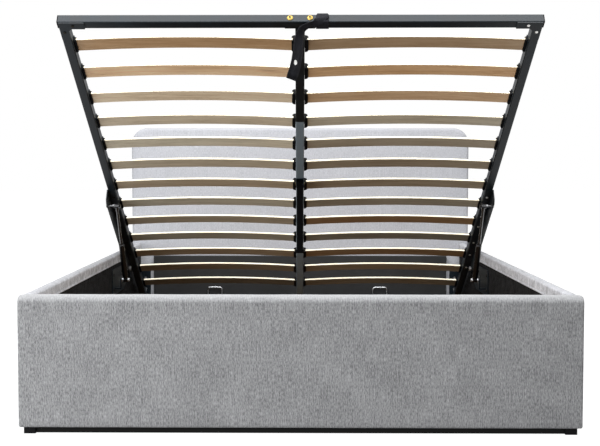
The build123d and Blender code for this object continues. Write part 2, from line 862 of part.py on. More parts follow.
def lid_rail(centre, name):
    """One of the two tubes across the ends of the lid."""
    with BuildPart() as rail:
        with BuildSketch(lid_side(-lid_half)):
            add(tube_section(centre, hinge_drop))
        extrude(amount=lid_half * 2)
        with BuildSketch(lid_cross(centre - tube_size)):
            with Locations((-spine_bolt_offset, hinge_drop), (spine_bolt_offset, hinge_drop)):
                Circle(bolt_hole)
        extrude(amount=2 * tube_size, mode=Mode.SUBTRACT)
        with BuildSketch(lid_level(tube_under)):
            with Locations(*[place for place in gusset_rail_places if abs(place[1] - centre) < tube_half]):
                Circle(bolt_hole)
        extrude(amount=2 * tube_wall, mode=Mode.SUBTRACT)
    keep(rail.part, name)


lid_rail(lid_foot + tube_half, "lid_rail_foot")
lid_rail(lid_head - tube_half, "lid_rail_head")

with BuildPart() as rail_end_caps:
    for edge in (-lid_half - rail_overhang, lid_half):
        with BuildSketch(lid_side(edge)):
            with Locations((lid_foot + tube_half, hinge_drop), (lid_head - tube_half, hinge_drop)):
                RectangleRounded(tube_size, tube_size, tube_corner)
        extrude(amount=rail_overhang)
keep(rail_end_caps.part, "rail_end_caps")

leg_half = leg_size / 2
leg_pivot_z = tube_under - leg_pivot_drop
ear_in = leg_half + leg_gap
ear_out = ear_in + leg_ear_thickness
with BuildPart() as spine_brackets:
    for start in (foot_inner, spine_end):
        with BuildSketch(lid_cross(start)):
            with Locations((0, hinge_drop)):
                RectangleRounded(spine_bracket_width, tube_size - 2 * tube_wall, tube_corner)
            with Locations((-spine_bolt_offset, hinge_drop), (spine_bolt_offset, hinge_drop)):
                Circle(bolt_hole, mode=Mode.SUBTRACT)
        extrude(amount=spine_bracket_thickness)
    with BuildSketch(lid_level(tube_under - leg_ear_thickness)):
        with Locations((0, -leg_back)):
            Rectangle(2 * ear_out, leg_ear_width)
    extrude(amount=leg_ear_thickness)
    for start in (-ear_out, ear_in):
        with BuildSketch(lid_side(start)):
            with Locations((-leg_back, leg_pivot_z)):
                Rectangle(leg_ear_width, leg_pivot_drop, align=(Align.CENTER, Align.MIN))
                Circle(leg_ear_width / 2)
                Circle(leg_pin_radius + running_clearance, mode=Mode.SUBTRACT)
        extrude(amount=leg_ear_thickness)
keep(spine_brackets.part, "spine_brackets")

gusset_low = tube_under - gusset_thickness
with BuildPart() as lid_gussets:
    for side in (-1, 1):
        for edge, inner, turn in ((lid_foot, foot_inner, 1), (lid_head, head_inner, -1)):
            with BuildSketch(lid_level(gusset_low)) as gusset_outline:
                with BuildLine():
                    Polyline(
                        (side * (lid_half - tube_wall), edge + turn * tube_wall),
                        (side * (lid_half - tube_wall), inner + turn * gusset_leg),
                        (side * tube_inner, inner + turn * gusset_leg),
                        (side * tube_inner, inner + turn * gusset_chamfer),
                        (side * (tube_inner - gusset_chamfer), inner),
                        (side * (tube_inner - gusset_leg), inner),
                        (side * (tube_inner - gusset_leg), edge + turn * tube_wall),
                        close=True,
                    )
                make_face()
                fillet(gusset_outline.vertices(), gusset_round)
                with Locations(*(gusset_tube_places + gusset_rail_places)):
                    Circle(bolt_hole, mode=Mode.SUBTRACT)
            extrude(amount=gusset_thickness)
keep(lid_gussets.part, "lid_gussets")


# Angle bracket under each side tube: hinge eye at the head end, strut at the foot end
web_low = tube_under - bracket_depth
web_rear_low = tube_under - bracket_rear_depth
with BuildPart() as lid_bracket:
    with BuildSketch(lid_side(bracket_inner)) as web_outline:
        with BuildLine():
            Polyline(
                (bracket_start, tube_under),
                (bracket_start, web_low + bracket_corner),
                (bracket_start + bracket_corner, web_low),
                (bracket_start * bracket_straight_share, web_low),
                (0, web_rear_low),
                (bracket_end, web_rear_low),
                (bracket_end, tube_under),
                close=True,
            )
        make_face()
        low_corners = web_outline.vertices().filter_by(
            lambda corner: corner.Y < tube_under - bracket_thickness
        )
        fillet(low_corners, bracket_corner / 2)
        Circle(hinge_hole, mode=Mode.SUBTRACT)
    extrude(amount=bracket_thickness)
    with BuildSketch(lid_level(tube_under - bracket_thickness)):
        with Locations((bracket_outer, bracket_start)):
            Rectangle(
                tube_size + bracket_thickness - tube_wall,
                bracket_end - bracket_start,
                align=(Align.MAX, Align.MIN),
            )
        with Locations(*[(tube_centre, y) for y in rivet_places]):
            Circle(bolt_hole, mode=Mode.SUBTRACT)
    extrude(amount=bracket_thickness)
keep_pair(lid_bracket.part, "lid_bracket")


# Centre leg, which hangs plumb from an ear bracket under the spine
leg_point = lid_point(0, -leg_back, leg_pivot_z)
leg_bottom = leg_point.Z - (hinge_height + leg_pivot_z - floor_top - leg_floor_gap)
with BuildPart() as centre_leg:
    with BuildSketch(Plane.YZ):
        with Locations((leg_point.Y, leg_point.Z)):
            Circle(leg_half)
            Rectangle(
                leg_size, leg_point.Z - leg_bottom - leg_foot_height, align=(Align.CENTER, Align.MAX)
            )
    extrude(amount=leg_half, both=True)
    long_edges = centre_leg.edges().filter_by(Axis.Z)
    fillet(long_edges, leg_corner)
    with BuildSketch(Plane.XY.offset(leg_bottom)):
        with Locations((0, leg_point.Y)):
            RectangleRounded(leg_size - 2 * leg_wall, leg_size - 2 * leg_wall, leg_wall)
    extrude(amount=leg_point.Z - leg_bottom - leg_half, mode=Mode.SUBTRACT)
    with BuildSketch(Plane.YZ):
        with Locations((leg_point.Y, leg_point.Z)):
            Circle(leg_pin_radius + running_clearance)
    extrude(amount=leg_size, both=True, mode=Mode.SUBTRACT)
    with BuildSketch(Plane.XY.offset(leg_bottom)):
        with Locations((0, leg_point.Y)):
            RectangleRounded(leg_size + 2 * leg_foot_margin, leg_size + 2 * leg_foot_margin, leg_corner)
    extrude(amount=leg_foot_height)
keep(centre_leg.part, "centre_leg")



# Bolts, rivets, nuts and the leg's pin, all carried by the lid
rivet = fastener(rivet_radius, rivet_height, bolt_radius, bracket_thickness + 2 * tube_wall, rivet_height / 2)
rail_grip = tube_size + spine_bracket_thickness
rail_bolt = fastener(bolt_head_radius, bolt_radius, bolt_radius, rail_grip + bolt_head_radius, bolt_dome)
with BuildPart() as lid_bolts:
    for x, y in (
        [(side * tube_centre, y) for side in (-1, 1) for y in rivet_places]
        + gusset_tube_places
        + gusset_rail_places
    ):
        place = lid_point(x, y, tube_under - bracket_thickness)
        with Locations(facing(place.X, place.Y, place.Z, -lid_normal)):
            add(rivet)
    for x in (-spine_bolt_offset, spine_bolt_offset):
        for edge, way in ((lid_foot, -1), (lid_head, 1)):
            place = lid_point(x, edge, hinge_drop)
            with Locations(facing(place.X, place.Y, place.Z, lid_along * way)):
                add(rail_bolt)
            with BuildSketch(lid_cross(edge - way * rail_grip)):
                with Locations((-x, hinge_drop)):
                    RegularPolygon(bolt_head_radius, side_count=6)
            extrude(amount=-way * (bolt_head_radius - bolt_head_height))
    for side in (-1, 1):
        start = bracket_outer if side > 0 else -bracket_outer - bracket_thickness
        with BuildSketch(lid_side(start)):
            with Locations((-strut_head_back, -strut_head_drop)):
                RegularPolygon(strut_nut_radius, side_count=6)
        extrude(amount=bracket_thickness)
    with BuildSketch(lid_side(-ear_out - leg_head_height)):
        with Locations((-leg_back, leg_pivot_z)):
            Circle(leg_pin_radius)
    extrude(amount=2 * (ear_out + leg_head_height))
    for start in (-ear_out - leg_head_height, ear_out):
        with BuildSketch(lid_side(start)):
            with Locations((-leg_back, leg_pivot_z)):
                Circle(leg_head_radius)
        extrude(amount=leg_head_height)
keep(lid_bolts.part, "lid_bolts")


# Sprung slats and their plastic holders
slat_under = hinge_drop + slat_lift
slat_start = tube_half + slat_spine_gap
slat_end = tube_inner - slat_tip_gap
row_pitch = (lid_head - lid_foot - first_row - last_row_margin) / (row_count - 1)
row_places = [lid_foot + first_row + row_pitch * n for n in range(row_count)]


def slat_bands(margin):
    """The two bowed slats of a row seen along the lid, grown by a margin."""
    with BuildSketch() as bands:
        for side in (-1, 1):
            start = side * (slat_start - margin)
            end = side * (slat_end + margin)
            middle = (start + end) / 2
            low = slat_under - margin
            high = slat_under + slat_thickness + margin
            with BuildLine():
                ThreePointArc((start, low), (middle, low + slat_bow), (end, low))
                Line((end, low), (end, high))
                ThreePointArc((end, high), (middle, high + slat_bow), (start, high))
                Line((start, high), (start, low))
            make_face()
    return bands.sketch


with BuildPart() as slat_pair:
    for side in (-1, 1):
        slat_middle = (slat_start + slat_end) / 2
        centre_line = slat_under + slat_thickness / 2
        with BuildLine(lid_cross(row_places[0])) as bow_line:
            ThreePointArc(
                (side * slat_start, centre_line),
                (side * slat_middle, centre_line + slat_bow),
                (side * slat_end, centre_line),
            )
        bow = bow_line.line
        with BuildSketch(Plane(origin=bow @ 0, x_dir=lid_along, z_dir=bow % 0)):
            RectangleRounded(slat_width, slat_thickness, slat_rounding)
        sweep(path=bow)

for n in range(row_count):
    with BuildPart() as slat_row:
        with Locations(lid_along * (row_pitch * n)):
            add(slat_pair.part)
    keep(slat_row.part, f"slat_row_{n + 1:02d}")

pocket_half = slat_width / 2 + holder_clearance
holder_half = pocket_half + holder_wall
holder_low = slat_under - holder_clearance - holder_wall
holder_high = slat_under + slat_thickness + holder_clearance + holder_wall
lip_top = tube_top + holder_lip_thickness
with BuildPart() as outer_holder:
    with BuildSketch(lid_level(holder_low)):
        with Locations((tube_inner, row_places[0])):
            RectangleRounded(2 * holder_length, 2 * holder_half, holder_round)
            Rectangle(
                holder_length,
                2 * holder_half,
                align=(Align.MIN, Align.CENTER),
                mode=Mode.SUBTRACT,
            )
    extrude(amount=holder_high - holder_low)
    with BuildSketch(lid_cross(row_places[0])):
        with Locations((-tube_inner + slat_tip_gap - holder_clearance, holder_low)):
            Rectangle(
                slat_tip_gap - holder_clearance, lip_top - holder_low, align=(Align.MAX, Align.MIN)
            )
        with Locations((-tube_inner - holder_lip, tube_top)):
            Rectangle(
                holder_lip + slat_tip_gap - holder_clearance,
                holder_lip_thickness,
                align=(Align.MIN, Align.MIN),
            )
    extrude(amount=holder_half, both=True)
    with BuildSketch(lid_cross(row_places[0])):
        add(slat_bands(holder_clearance))
    extrude(amount=pocket_half, both=True, mode=Mode.SUBTRACT)

with BuildPart() as outer_holders:
    with Locations(*[lid_along * (row_pitch * n) for n in range(row_count)]):
        add(outer_holder.part)
keep_pair(outer_holders.part, "slat_holders")

centre_half = tube_half + centre_holder_length
with BuildPart() as centre_holder:
    with BuildSketch(lid_level(holder_low)):
        with Locations((0, row_places[0])):
            RectangleRounded(2 * centre_half, 2 * holder_half, centre_holder_round)
    extrude(amount=lip_top - holder_low)
    with BuildSketch(lid_cross(row_places[0])):
        with Locations((0, tube_top)):
            Rectangle(
                tube_size + 2 * holder_clearance, tube_size, align=(Align.CENTER, Align.MAX)
            )
        add(slat_bands(holder_clearance))
    extrude(amount=pocket_half, both=True, mode=Mode.SUBTRACT)
    with BuildSketch(lid_cross(row_places[0])):
        with Locations((0, tube_top)):
            Rectangle(
                tube_size + 2 * holder_clearance, tube_size, align=(Align.CENTER, Align.MAX)
            )
    extrude(amount=2 * holder_half, both=True, mode=Mode.SUBTRACT)

with BuildPart() as centre_holders:
    with Locations(*[lid_along * (row_pitch * n) for n in range(row_count)]):
        add(centre_holder.part)
keep(centre_holders.part, "slat_holders_centre")


# Pull strap: a band round the foot rail with a tail that hangs from it
band_inner = tube_size + 2 * strap_gap
band_outer = band_inner + 2 * strap_thickness
tail_root = lid_point(strap_side, lid_foot + tube_half, tube_under - strap_gap - strap_thickness)
tail_top = tail_root.Z + strap_thickness
with BuildPart() as pull_strap:
    with BuildSketch(lid_side(strap_side - strap_width / 2)):
        with Locations((lid_foot + tube_half, hinge_drop)):
            RectangleRounded(band_outer, band_outer, tube_corner + strap_thickness)
            RectangleRounded(band_inner, band_inner, tube_corner, mode=Mode.SUBTRACT)
    extrude(amount=strap_width)
    with BuildSketch(Plane.XZ.offset(-tail_root.Y)) as tail_outline:
        with BuildLine():
            Polyline(
                *[
                    (strap_side * across, tail_top - tail_length * down)
                    for across, down in zip(tail_across_shares, tail_down_shares)
                ],
                close=True,
            )
        make_face()
    extrude(amount=strap_thickness / 2, both=True)
keep(pull_strap.part, "pull_strap")

# Figures of the mechanism, for its record
strut_closed = hypot(
    hinge_y - strut_head_back - strut_foot_y, hinge_height - strut_head_drop - strut_foot_height
)
closed_lean = atan2(
    hinge_height - strut_head_drop - strut_foot_height, hinge_y - strut_head_back - strut_foot_y
)
open_lean = atan2(strut_line.Z, strut_line.Y)
swing = degrees(closed_lean - open_lean) % 360
print("hinge at", hinge_y, hinge_height)
print("strut foot at", strut_foot_y, strut_foot_height, "way", strut_way)
print("strut open", strut_open, "closed", strut_closed, "swing", swing)
print("leg pivot at", leg_point.Y, leg_point.Z)
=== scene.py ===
"""Ottoman storage bed with its slatted lid held open: upholstery, finishes and studio light."""
import math

import bmesh
import bpy
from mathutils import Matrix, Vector, noise


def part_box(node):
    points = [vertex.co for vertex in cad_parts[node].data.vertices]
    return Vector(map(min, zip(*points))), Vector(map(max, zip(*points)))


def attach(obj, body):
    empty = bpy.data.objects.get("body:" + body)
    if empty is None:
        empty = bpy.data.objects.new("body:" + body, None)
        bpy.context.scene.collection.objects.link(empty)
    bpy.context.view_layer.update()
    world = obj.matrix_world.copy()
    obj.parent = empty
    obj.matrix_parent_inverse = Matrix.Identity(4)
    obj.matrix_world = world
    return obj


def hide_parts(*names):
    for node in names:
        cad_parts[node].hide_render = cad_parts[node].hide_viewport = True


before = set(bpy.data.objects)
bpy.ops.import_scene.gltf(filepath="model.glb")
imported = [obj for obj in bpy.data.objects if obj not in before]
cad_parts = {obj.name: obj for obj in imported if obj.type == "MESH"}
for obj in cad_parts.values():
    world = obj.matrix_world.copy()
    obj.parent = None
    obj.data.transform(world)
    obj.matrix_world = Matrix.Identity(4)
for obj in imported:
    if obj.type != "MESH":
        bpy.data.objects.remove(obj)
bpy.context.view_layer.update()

# Camera of the photograph
lens = bpy.data.cameras.new("photo_camera")
lens.sensor_width = 36
lens.lens = 62.65
lens.shift_x = 0.0195
camera = bpy.data.objects.new("photo_camera", lens)
camera.location = (-0.0005, -3.9974, 0.756)
camera.rotation_euler = (math.radians(86.975), 0, 0.011)
bpy.context.scene.collection.objects.link(camera)
bpy.context.scene.camera = camera
bpy.context.scene.view_settings.view_transform = "Standard"

# Open lid: a point of its hinge, the way from its foot to its head, and the way over its slats
open_angle = math.radians(33)
hinge_point = Vector((0, 0.58, 0.315))
lid_along = Vector((0, math.cos(open_angle), -math.sin(open_angle)))
lid_up = Vector((0, math.sin(open_angle), math.cos(open_angle)))


# Shader nodes
class Wire:
    """One output of a node; sums and products of it add Math nodes."""

    def __init__(self, finish, socket):
        self.finish = finish
        self.socket = socket

    def math(self, operation, first, second):
        return self.finish.node("ShaderNodeMath", {"operation": operation}, {0: first, 1: second})

    def __add__(self, other):
        return self.math("ADD", self, other)

    def __sub__(self, other):
        return self.math("SUBTRACT", self, other)

    def __rsub__(self, other):
        return self.math("SUBTRACT", other, self)

    def __mul__(self, other):
        return self.math("MULTIPLY", self, other)

    def __truediv__(self, other):
        return self.math("DIVIDE", self, other)

    def __lt__(self, other):
        return self.math("LESS_THAN", self, other)

    def __gt__(self, other):
        return self.math("GREATER_THAN", self, other)

    def __abs__(self):
        return self.math("ABSOLUTE", self, 0)

    __radd__ = __add__
    __rmul__ = __mul__


class Finish:
    """A material being made."""

    def __init__(self, name, tree=None):
        if tree is None:
            self.material = bpy.data.materials.new(name)
            self.material.use_nodes = True
            tree = self.material.node_tree
        self.tree = tree
        tree.nodes.clear()

    def node(self, kind, settings=None, values=None, out=0):
        """A node with its settings made first, then the values or wires of its sockets."""
        made = self.tree.nodes.new(kind)
        for key, value in (settings or {}).items():
            if key == "stops":
                ramp = made.color_ramp.elements
                while len(ramp) < len(value):
                    ramp.new(0.5)
                for stop, (place, colour) in zip(ramp, value):
                    stop.position = place
                    stop.color = colour
            else:
                setattr(made, key, value)
        for key, value in (values or {}).items():
            if isinstance(value, Wire):
                self.tree.links.new(value.socket, made.inputs[key])
            else:
                made.inputs[key].default_value = value
        return Wire(self, made.outputs[out]) if made.outputs else None

    def place(self):
        return self.node("ShaderNodeTexCoord", out="Object")

    def split(self, vector, axis):
        return self.node("ShaderNodeSeparateXYZ", None, {0: vector}, axis)

    def vectors(self, operation, first, second, out=0):
        return self.node("ShaderNodeVectorMath", {"operation": operation}, {0: first, 1: second}, out)

    def stretch(self, vector, scale):
        return self.vectors("MULTIPLY", vector, scale)

    def noise(self, vector, scale, detail=2.0, roughness=0.5):
        values = {"Vector": vector, "Scale": scale, "Detail": detail, "Roughness": roughness}
        return self.node("ShaderNodeTexNoise", None, values)

    def ramp(self, factor, *stops):
        return self.node("ShaderNodeValToRGB", {"stops": stops}, {0: factor})

    def blend(self, factor, first, second, kind="MIX"):
        settings = {"data_type": "RGBA", "blend_type": kind}
        return self.node("ShaderNodeMix", settings, {0: factor, 6: first, 7: second}, 2)

    def shaded(self, colour, light):
        """A colour made darker or lighter by a factor."""
        factor = self.node("ShaderNodeCombineColor", None, {0: light, 1: light, 2: light})
        return self.blend(1.0, colour, factor, "MULTIPLY")

    def seen(self):
        """One for what the eye sees, straight on, mirrored or through a clear piece, else nothing."""
        rays = [f"Is {kind} Ray" for kind in ("Camera", "Glossy", "Transmission")]
        camera_ray, glossy, through = [self.node("ShaderNodeLightPath", out=ray) for ray in rays]
        return camera_ray + glossy + through

    def bump(self, height, distance, strength=1.0):
        values = {"Height": height, "Distance": distance, "Strength": strength}
        return self.node("ShaderNodeBump", None, values)

    def surface(self, **sockets):
        """The main shader, with the names of its sockets in small letters."""
        values = {}
        for key, value in sockets.items():
            values[key.replace("_", " ").title().replace("Ior", "IOR")] = value
        shader = self.node("ShaderNodeBsdfPrincipled", None, values)
        self.node("ShaderNodeOutputMaterial", None, {"Surface": shader})
        return self.material


def shade(red, green, blue):
    """A colour seen on a screen as the linear colour of a socket."""
    def linear(part):
        part /= 255
        return part / 12.92 if part <= 0.04045 else ((part + 0.055) / 1.055) ** 2.4
    return (linear(red), linear(green), linear(blue), 1)


# Finishes
def grey_chenille(name, lift, blue, contrast, painted_shade_and_mottling=None):
    """Light grey heathered chenille; its pile runs down the boards in short slubs.

    The optional last argument is for a board whose cloth is turned over its top: how much painted
    shade darkens the top and the outer face below the inner face, and how strongly the inner face is
    mottled.
    """
    cloth = Finish(name)
    lie = cloth.node("ShaderNodeAttribute", {"attribute_name": "cloth_lie"}, out="Vector")
    slubs = cloth.noise(cloth.stretch(lie, (1, 0.24, 1)), 430, 2, 0.62)
    yarns = cloth.noise(cloth.stretch(lie, (1, 0.03, 1)), 520, 2, 0.6)
    flecks = cloth.noise(cloth.stretch(lie, (1, 0.5, 1)), 850, 1, 0.5)
    cloud = cloth.noise(lie, 9, 3, 0.6)
    tone = slubs * 0.48 + yarns * 0.30 + flecks * 0.14 + cloud * 0.1
    if painted_shade_and_mottling:
        painted_top_shade, painted_outer_shade, mottling = painted_shade_and_mottling
        trail = cloth.split(lie, 1)
        values = {"Value": trail, "From Min": 0.07, "From Max": 0.11}
        outside = cloth.node("ShaderNodeMapRange", None, values)
        blotches = cloth.noise(lie, 34, 3, 0.6) - 0.5
        tone = tone + blotches * (1 - outside) * mottling
    middle_grey = 180
    stops = []
    for place, grey in ((0.37, -46), (0.45, -20), (0.51, 0), (0.58, 19), (0.66, 39)):
        level = min(250, middle_grey + lift + grey * contrast)
        stops.append((place, shade(level, level + blue * 0.2, level + blue)))
    up = cloth.split(cloth.node("ShaderNodeTexCoord", out="Normal"), 2)
    calm = up.math("MAXIMUM", up, 0) * 0.7
    middle_shade = stops[2][1]
    body = cloth.blend(calm, cloth.ramp(tone, *stops), middle_shade)
    # Painted shade: the top and the outer face made darker than the inner face
    if painted_shade_and_mottling:
        body = cloth.shaded(body, 1 - calm * painted_top_shade - outside * painted_outer_shade)
    weave = (slubs * 0.6 + flecks * 0.4) * (1 - calm)
    return cloth.surface(
        base_color=body,
        roughness=0.93,
        sheen_weight=0.25,
        sheen_roughness=0.5,
        specular_ior_level=0.25,
        normal=cloth.bump(weave, 0.0014 * contrast, 0.7),
    )


def black_lining():
    """Thin black non-woven cloth stapled over the inner sides, a little slack."""
    cloth = Finish("black_lining")
    place = cloth.place()
    felt = cloth.noise(place, 900, 2, 0.6)
    slack = cloth.noise(cloth.stretch(place, (1, 1, 2.2)), 9, 2, 0.5)
    folds = cloth.noise(cloth.stretch(place, (1, 0.35, 3)), 22, 2, 0.5)
    tone = felt * 0.7 + slack * 0.3
    body = cloth.ramp(tone, (0.35, shade(8, 8, 9)), (0.65, shade(22, 22, 24)))
    return cloth.surface(
        base_color=body,
        roughness=0.9,
        specular_ior_level=0.2,
        normal=cloth.bump(slack * 3 + folds + felt * 0.08, 0.006, 0.7),
    )


def chipboard(name, light, dark):
    """Pressed wood board with its chips showing, or in greys a flecked backing cloth."""
    board = Finish(name)
    place = board.place()
    chips = board.noise(board.stretch(place, (1, 1, 2)), 140, 4, 0.7)
    dust = board.noise(place, 600, 1, 0.5)
    tone = chips * 0.75 + dust * 0.25
    body = board.ramp(tone, (0.35, shade(*dark)), (0.62, shade(*light)))
    return board.surface(base_color=body, roughness=0.82, normal=board.bump(chips, 0.0006, 0.5))


def pine():
    """Sawn softwood with its rings showing."""
    wood = Finish("pine_strips")
    place = wood.place()
    grain = wood.noise(place, 72, 3, 0.6)
    rings = wood.node(
        "ShaderNodeTexWave",
        {"wave_type": "BANDS", "bands_direction": "Z"},
        {"Vector": place, "Scale": 22, "Distortion": 5, "Detail": 2},
        1,
    )
    tone = rings * 0.6 + grain * 0.4
    body = wood.ramp(tone, (0.2, shade(196, 160, 108)), (0.8, shade(225, 198, 150)))
    return wood.surface(base_color=body, roughness=0.7, normal=wood.bump(rings, 0.0004, 0.4))


def beech(row, left, right):
    """Bent beech slats of a row, each with its own (lightness, warmth) and with pale cut edges.

    The lightness is painted light and shade on the under side, which the open lid shows; the upper
    side is the same in every row.
    """
    wood = Finish(f"beech_row_{row:02d}")
    place = wood.place()
    on_left = wood.split(place, 0) < 0
    shift = wood.vectors("ADD", place, (row * 1.7, row * 0.9, 0))
    long_grain = wood.noise(wood.stretch(shift, (2.2, 60, 60)), 3.2, 4, 0.6)
    pores = wood.noise(wood.stretch(shift, (24, 500, 500)), 2, 2, 0.55)
    waves = wood.noise(wood.stretch(shift, (1.4, 12, 12)), 2.2, 3, 0.5)
    tone = long_grain * 0.5 + pores * 0.2 + waves * 0.4
    upper_lightness = 0.8
    greys = shade(160, 153, 134), shade(190, 185, 167), shade(208, 203, 186)
    browns = shade(178, 132, 86), shade(206, 164, 118), shade(222, 184, 140)
    places = 0.38, 0.55, 0.72
    grey = wood.ramp(tone, *zip(places, greys))
    warm = wood.ramp(tone, *zip(places, browns))
    on_right = 1 - on_left
    warmth = on_left * left[1] + on_right * right[1]
    # Painted light and shade: the under side's lightness, set apart for the left and the right slat
    # of each row
    light = on_left * left[0] + on_right * right[0]
    facing = wood.node("ShaderNodeTexCoord", out="Normal")
    edgeways = wood.vectors("DOT_PRODUCT", facing, tuple(lid_along), "Value")
    upwards = wood.vectors("DOT_PRODUCT", facing, tuple(lid_up), "Value")
    light = light + (upper_lightness - light) * (upwards > 0.3)
    face = wood.shaded(wood.blend(warmth, grey, warm), light)
    edge = abs(edgeways) > 0.6
    plies = wood.noise(wood.stretch(shift, (8, 40, 900)), 1, 2, 0.6)
    edge_colour = wood.ramp(plies, (0.3, shade(240, 226, 194)), (0.7, shade(252, 246, 226)))
    return wood.surface(
        base_color=wood.blend(edge, face, edge_colour),
        roughness=pores * 0.2 + 0.42,
        coat_weight=0.15,
        normal=wood.bump(pores * 0.6 + long_grain * 0.4, 0.0004, 0.4),
    )


def powder_coat(name, light, dark, roughness=0.38, gloss=0.5, painted_reflection_span=None):
    """Black powder coat with the fine peel of sprayed steel; its optional stretch from y to y is
    painted paler as a painted reflection.
    """
    coat = Finish(name)
    place = coat.place()
    peel = coat.noise(place, 700, 2, 0.5)
    dust = coat.noise(place, 14, 4, 0.65)
    body = coat.ramp(peel * 0.3 + dust * 0.7, (0.35, shade(*dark)), (0.7, shade(*light)))
    # Painted reflection: a paler stretch of the steel between two places along y
    if painted_reflection_span:
        y = coat.split(place, 1)
        body = coat.blend((y > painted_reflection_span[0]) * (y < painted_reflection_span[1]), body, shade(132, 148, 160))
    return coat.surface(
        base_color=body,
        roughness=dust * 0.16 + (roughness - 0.08),
        specular_ior_level=gloss,
        normal=coat.bump(peel, 0.0002, 0.35),
    )


def moulded_plastic():
    """Black plastic of the slat holders and end caps."""
    plastic = Finish("black_plastic")
    place = plastic.place()
    grain = plastic.noise(place, 1500, 2, 0.5)
    scuffs = plastic.noise(plastic.stretch(place, (3, 1, 1)), 40, 4, 0.7)
    body = plastic.ramp(scuffs, (0.4, shade(9, 9, 10)), (0.75, shade(20, 20, 22)))
    return plastic.surface(
        base_color=body,
        roughness=scuffs * 0.2 + 0.62,
        specular_ior_level=0.12,
        normal=plastic.bump(grain, 0.0002, 0.3),
    )


def bright_metal(name, light, dark, roughness, ends=None):
    """Plated steel, slightly streaked; ends are its colours left and right of the middle."""
    metal = Finish(name)
    place = metal.place()
    streaks = metal.noise(metal.stretch(place, (1, 1, 0.2)), 300, 3, 0.6)
    spots = metal.noise(place, 60, 3, 0.6)
    body = metal.ramp(streaks * 0.5 + spots * 0.5, (0.35, shade(*dark)), (0.65, shade(*light)))
    if ends:
        x = metal.split(place, 0)
        left, right = ends
        body = metal.blend(x < -0.3, body, shade(*left))
        body = metal.blend(x > 0.3, body, shade(*right))
    return metal.surface(
        base_color=body,
        metallic=1.0,
        roughness=spots * 0.15 + roughness,
        normal=metal.bump(streaks, 0.0001, 0.2),
    )


def webbing():
    """Black woven strap: twill ribs, a little fuzz and one bright rivet near its hanging end."""
    band = Finish("black_webbing")
    place = band.place()
    ribs = band.node(
        "ShaderNodeTexWave",
        {"wave_type": "BANDS", "bands_direction": "DIAGONAL"},
        {"Vector": place, "Scale": 170, "Distortion": 1.5, "Detail": 1},
        1,
    )
    fuzz = band.noise(place, 800, 2, 0.6)
    worn = band.noise(band.stretch(place, (3, 1, 1)), 60, 3, 0.6)
    tone = ribs * 0.4 + fuzz * 0.2 + worn * 0.4
    body = band.ramp(tone, (0.3, shade(8, 8, 11)), (0.7, shade(36, 36, 42)))
    rivet_x, rivet_z, rivet_half_width, rivet_half_height = -0.0139, 1.0799, 0.0048, 0.0078
    across = (band.split(place, 0) - rivet_x) / rivet_half_width
    down = (band.split(place, 2) - rivet_z) / rivet_half_height
    rivet = (across * across + down * down) < 1
    body = band.blend(rivet, body, (0.95, 0.95, 0.93, 1))
    return band.surface(
        base_color=body,
        roughness=0.85,
        specular_ior_level=0.2,
        normal=band.bump(ribs * 0.7 + fuzz * 0.3, 0.0008, 0.6),
    )


def strut_rod():
    """Black nitrided rod of the gas strut: it only shines at its sides."""
    rod = Finish("strut_rod")
    place = rod.place()
    streaks = rod.noise(rod.stretch(place, (1, 1, 0.2)), 300, 3, 0.6)
    body = rod.ramp(streaks, (0.35, shade(38, 38, 40)), (0.65, shade(70, 70, 72)))
    return rod.surface(
        base_color=body,
        metallic=0.8,
        roughness=streaks * 0.1 + 0.1,
        coat_weight=1.0,
        coat_roughness=0.08,
        normal=rod.bump(streaks, 0.0001, 0.2),
    )


def floor_white():
    """Pale studio floor that stays white to the eye and still keeps the bed's shadow."""
    floor = Finish("studio_floor")
    matt = floor.node("ShaderNodeBsdfDiffuse", None, {"Color": (0.22, 0.22, 0.22, 1)})
    glow = floor.node("ShaderNodeEmission", None, {"Strength": floor.seen() * 0.95})
    both = floor.node("ShaderNodeAddShader", None, {0: matt, 1: glow})
    floor.node("ShaderNodeOutputMaterial", None, {"Surface": both})
    return floor.material


# One grey chenille in three copies whose lifts are painted light and shade: the side boards' and the
# headboard's copies are painted lighter than the footboard's
chenille = grey_chenille("grey_chenille", -18, 2, 1.2)
side_chenille_painted_light = grey_chenille("side_chenille_painted_light", 16, 6, 1.15, (0.36, 0.33, 0.44))
headboard_chenille_painted_light = grey_chenille("headboard_chenille_painted_light", 1, 7, 0.45)
pieces_own = {
    "lid_spine": powder_coat("spine_steel", (24, 32, 37), (14, 20, 24), 0.42, 0.22, (-0.31, 1.0)),
    "lid_bolts": bright_metal(
        "lid_bolt_plating", (96, 88, 62), (60, 52, 36), 0.4, ((40, 38, 34), (226, 226, 224))
    ),
    "frame_bolts": bright_metal("dull_zinc", (74, 72, 66), (44, 42, 38), 0.5),
}
finishes = {
    "grey_upholstery": chenille,
    "black_lining": black_lining(),
    "back_cloth": chipboard("back_cloth", (64, 64, 66), (44, 44, 46)),
    "frame_board": chipboard("frame_board", (205, 178, 132), (150, 120, 82)),
    "floor_panel": chipboard("floor_panel", (122, 96, 66), (88, 66, 44)),
    "pine": pine(),
    "black_lined_board": powder_coat("black_lined_board", (30, 31, 33), (16, 17, 18), 0.6),
    "black_plinth": powder_coat("black_plinth", (14, 14, 13), (6, 6, 6), 0.7, 0.15),
    "black_plastic": moulded_plastic(),
    "black_steel": powder_coat("black_steel", (22, 32, 39), (12, 18, 23), 0.42, 0.24),
    "black_leg_steel": powder_coat("black_leg_steel", (6, 6, 8), (3, 3, 4), 0.7, 0.05),
    "gloss_black_cylinder": powder_coat("gloss_black_cylinder", (16, 16, 18), (8, 8, 10), 0.16),
    "strut_chrome": strut_rod(),
    "yellow_zinc": bright_metal("yellow_zinc", (214, 190, 112), (164, 134, 66), 0.42),
    "bright_zinc": bright_metal("bright_zinc", (248, 250, 252), (214, 216, 220), 0.36),
    "bright_wire": bright_metal("bright_wire", (226, 228, 230), (170, 172, 176), 0.2),
    "black_webbing": webbing(),
}
